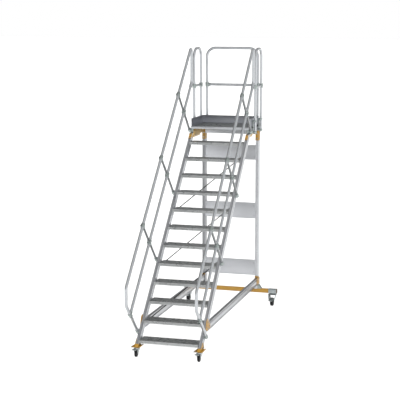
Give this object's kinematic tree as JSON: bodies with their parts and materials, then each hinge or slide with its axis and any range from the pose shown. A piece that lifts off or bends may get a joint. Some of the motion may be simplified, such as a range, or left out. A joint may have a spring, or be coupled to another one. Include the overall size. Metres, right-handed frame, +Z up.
{
  "type": "mobile platform stairs",
  "caption": "Mobile aluminium platform stairs: sloped flight of ribbed treads with tube handrails, guarded platform on rear posts, and braked swivel casters.",
  "frame": {"origin": "middle of the footprint's bounding box, on the floor that the casters stand on", "axes": "+Z up, +Y up the climb towards the platform, +X to the climber's right"},
  "size_m": [1.456, 3.5864, 3.8935],
  "materials": {
    "satin_aluminium": "satin anodised extrusion",
    "tube_aluminium": "satin drawn tube",
    "ribbed_aluminium": "ribbed anti-slip extrusion, worn",
    "dark_aluminium": "matt dark grey",
    "clamp_grey": "cast, grey-green",
    "ochre_paint": "ochre powder coat",
    "zinc_plate": "zinc plated pressing",
    "black_tyre": "matt rubber"
  },
  "bodies": {
    "frame": {"base_beam_left": "satin_aluminium", "base_beam_right": "satin_aluminium", "caster_sleeve_left": "zinc_plate", "caster_sleeve_right": "zinc_plate", "diagonal_brace_1": "satin_aluminium", "diagonal_brace_2": "satin_aluminium", "diagonal_brace_3": "satin_aluminium", "foot_bracket_left": "ochre_paint", "foot_bracket_right": "ochre_paint", "handrail_left": "tube_aluminium", "handrail_right": "tube_aluminium", "knee_rail_left": "tube_aluminium", "knee_rail_right": "tube_aluminium", "platform_deck": "ribbed_aluminium", "platform_frame": "satin_aluminium", "rail_arm_left_1": "clamp_grey", "rail_arm_left_2": "clamp_grey", "rail_arm_left_3": "clamp_grey", "rail_arm_right_1": "clamp_grey", "rail_arm_right_2": "clamp_grey", "rail_arm_right_3": "clamp_grey", "rear_beam": "ochre_paint", "rear_guard": "tube_aluminium", "rear_panel_lower": "satin_aluminium", "rear_panel_middle": "satin_aluminium", "rear_panel_upper": "satin_aluminium", "rear_post_left": "satin_aluminium", "rear_post_right": "satin_aluminium", "side_guard_left": "tube_aluminium", "side_guard_right": "tube_aluminium", "stringer_left": "satin_aluminium", "stringer_right": "satin_aluminium", "toe_board_left": "dark_aluminium", "toe_board_rear": "dark_aluminium", "toe_board_right": "dark_aluminium", "tread_01": "ribbed_aluminium", "tread_02": "ribbed_aluminium", "tread_03": "ribbed_aluminium", "tread_04": "ribbed_aluminium", "tread_05": "ribbed_aluminium", "tread_06": "ribbed_aluminium", "tread_07": "ribbed_aluminium", "tread_08": "ribbed_aluminium", "tread_09": "ribbed_aluminium", "tread_10": "ribbed_aluminium", "tread_11": "ribbed_aluminium", "tread_12": "ribbed_aluminium"},
    "caster_front_left": {"caster_fork_front_left": "zinc_plate"},
    "wheel_front_left": {"caster_wheel_front_left": "black_tyre"},
    "pedal_front_left": {"brake_pedal_front_left": "zinc_plate"},
    "caster_front_right": {"caster_fork_front_right": "zinc_plate"},
    "wheel_front_right": {"caster_wheel_front_right": "black_tyre"},
    "pedal_front_right": {"brake_pedal_front_right": "zinc_plate"},
    "caster_rear_left": {"caster_fork_rear_left": "zinc_plate"},
    "wheel_rear_left": {"caster_wheel_rear_left": "black_tyre"},
    "pedal_rear_left": {"brake_pedal_rear_left": "zinc_plate"},
    "caster_rear_right": {"caster_fork_rear_right": "zinc_plate"},
    "wheel_rear_right": {"caster_wheel_rear_right": "black_tyre"},
    "pedal_rear_right": {"brake_pedal_rear_right": "zinc_plate"}
  },
  "joints": [
    {"name": "swivel_front_left", "type": "hinge", "parent": "frame", "child": "caster_front_left", "pos_m": [-0.4225, -1.47125, 0.1242], "axis": [0, 0, 1], "continuous": true},
    {"name": "roll_front_left", "type": "hinge", "parent": "caster_front_left", "child": "wheel_front_left", "pos_m": [-0.4225, -1.51125, 0.05], "axis": [1, 0, 0], "continuous": true},
    {"name": "brake_front_left", "type": "hinge", "parent": "caster_front_left", "child": "pedal_front_left", "pos_m": [-0.4225, -1.53325, 0.108], "axis": [1, 0, 0], "range_deg": [0, 20]},
    {"name": "swivel_front_right", "type": "hinge", "parent": "frame", "child": "caster_front_right", "pos_m": [0.4225, -1.47125, 0.1242], "axis": [0, 0, 1], "continuous": true},
    {"name": "roll_front_right", "type": "hinge", "parent": "caster_front_right", "child": "wheel_front_right", "pos_m": [0.4225, -1.51125, 0.05], "axis": [1, 0, 0], "continuous": true},
    {"name": "brake_front_right", "type": "hinge", "parent": "caster_front_right", "child": "pedal_front_right", "pos_m": [0.4225, -1.53325, 0.108], "axis": [1, 0, 0], "range_deg": [0, 20]},
    {"name": "swivel_rear_left", "type": "hinge", "parent": "frame", "child": "caster_rear_left", "pos_m": [-0.66, 1.70925, 0.1842], "axis": [0, 0, 1], "continuous": true},
    {"name": "roll_rear_left", "type": "hinge", "parent": "caster_rear_left", "child": "wheel_rear_left", "pos_m": [-0.66, 1.67925, 0.0625], "axis": [1, 0, 0], "continuous": true},
    {"name": "brake_rear_left", "type": "hinge", "parent": "caster_rear_left", "child": "pedal_rear_left", "pos_m": [-0.66, 1.62325, 0.118], "axis": [1, 0, 0], "range_deg": [0, 20]},
    {"name": "swivel_rear_right", "type": "hinge", "parent": "frame", "child": "caster_rear_right", "pos_m": [0.66, 1.70925, 0.1842], "axis": [0, 0, 1], "continuous": true},
    {"name": "roll_rear_right", "type": "hinge", "parent": "caster_rear_right", "child": "wheel_rear_right", "pos_m": [0.66, 1.67925, 0.0625], "axis": [1, 0, 0], "continuous": true},
    {"name": "brake_rear_right", "type": "hinge", "parent": "caster_rear_right", "child": "pedal_rear_right", "pos_m": [0.66, 1.62325, 0.118], "axis": [1, 0, 0], "range_deg": [0, 20]}
  ]
}
